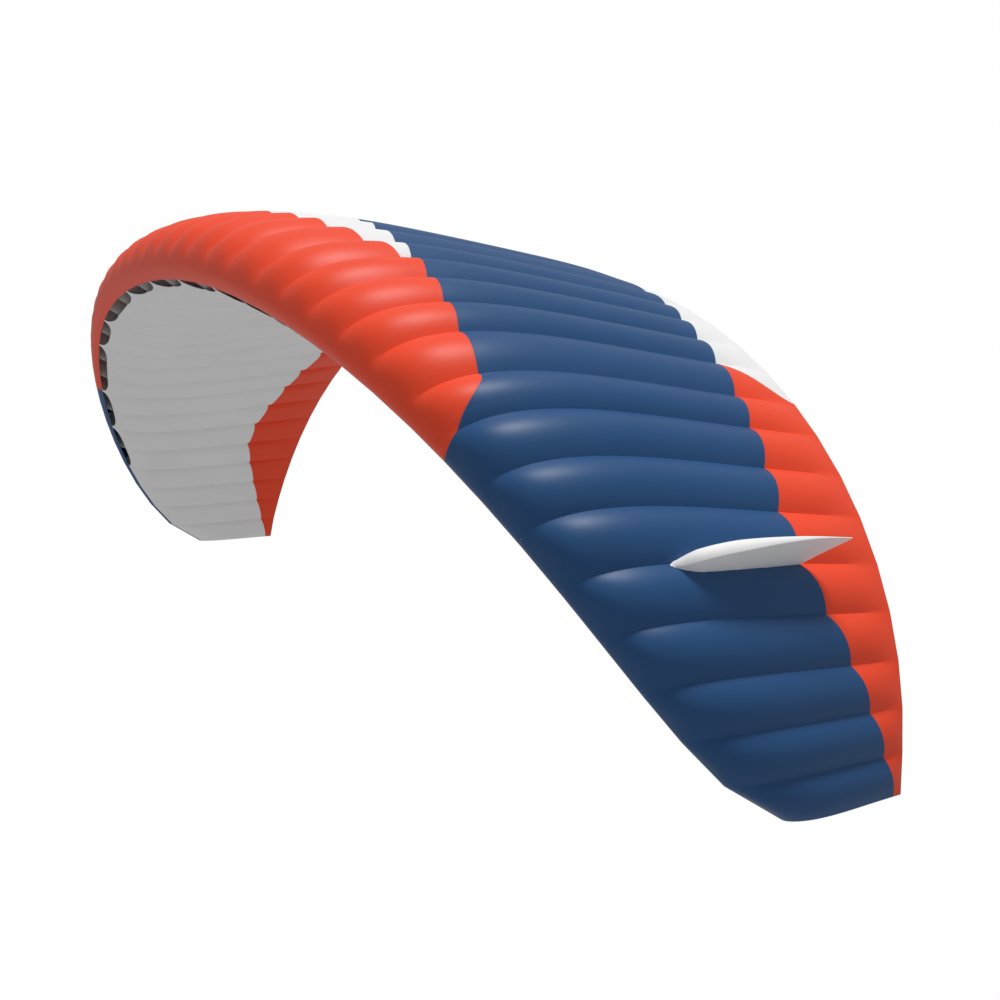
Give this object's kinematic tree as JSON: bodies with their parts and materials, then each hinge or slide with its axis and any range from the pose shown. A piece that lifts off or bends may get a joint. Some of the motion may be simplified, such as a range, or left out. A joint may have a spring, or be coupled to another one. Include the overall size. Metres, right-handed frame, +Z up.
{
  "type": "paraglider wing",
  "caption": "Arched ram-air cloth wing in flight, with sewn cells open under the nose, flat inner ribs, coloured panels and a small padded fin near each tip.",
  "frame": {"origin": "on the lower sail at the centre rib, a quarter of the way along the chord, where the middle of the main lines would pull", "axes": "+X along the span towards the pilot's left, -Y the way the wing flies, +Z up"},
  "size_m": [9.2144, 2.7, 2.8448],
  "materials": {
    "red_cloth": "coated ripstop, satin",
    "navy_cloth": "coated ripstop, satin",
    "white_cloth": "coated ripstop, satin",
    "rib_cloth": "stiff coated cloth, matte",
    "winglet_cloth": "coated ripstop, satin"
  },
  "bodies": {
    "root": {"bottom_centre": "white_cloth", "bottom_mid_left": "white_cloth", "bottom_mid_right": "white_cloth", "bottom_tail_red_left": "red_cloth", "bottom_tail_red_right": "red_cloth", "bottom_tip_left": "white_cloth", "bottom_tip_right": "white_cloth", "nose_centre": "red_cloth", "nose_left": "red_cloth", "nose_right": "red_cloth", "nose_wedge": "white_cloth", "rib_centre": "rib_cloth", "rib_left_01": "rib_cloth", "rib_left_02": "rib_cloth", "rib_left_03": "rib_cloth", "rib_left_04": "rib_cloth", "rib_left_05": "rib_cloth", "rib_left_06": "rib_cloth", "rib_left_07": "rib_cloth", "rib_left_08": "rib_cloth", "rib_left_09": "rib_cloth", "rib_left_10": "rib_cloth", "rib_left_11": "rib_cloth", "rib_left_12": "rib_cloth", "rib_left_13": "rib_cloth", "rib_left_14": "rib_cloth", "rib_left_15": "rib_cloth", "rib_left_16": "rib_cloth", "rib_left_17": "rib_cloth", "rib_left_18": "rib_cloth", "rib_left_19": "rib_cloth", "rib_right_01": "rib_cloth", "rib_right_02": "rib_cloth", "rib_right_03": "rib_cloth", "rib_right_04": "rib_cloth", "rib_right_05": "rib_cloth", "rib_right_06": "rib_cloth", "rib_right_07": "rib_cloth", "rib_right_08": "rib_cloth", "rib_right_09": "rib_cloth", "rib_right_10": "rib_cloth", "rib_right_11": "rib_cloth", "rib_right_12": "rib_cloth", "rib_right_13": "rib_cloth", "rib_right_14": "rib_cloth", "rib_right_15": "rib_cloth", "rib_right_16": "rib_cloth", "rib_right_17": "rib_cloth", "rib_right_18": "rib_cloth", "rib_right_19": "rib_cloth", "tail_red_left": "red_cloth", "tail_red_right": "red_cloth", "tail_white_left": "white_cloth", "tail_white_right": "white_cloth", "top_centre": "navy_cloth", "top_left": "navy_cloth", "top_right": "navy_cloth", "winglet_left": "winglet_cloth", "winglet_right": "winglet_cloth"}
  },
  "joints": []
}
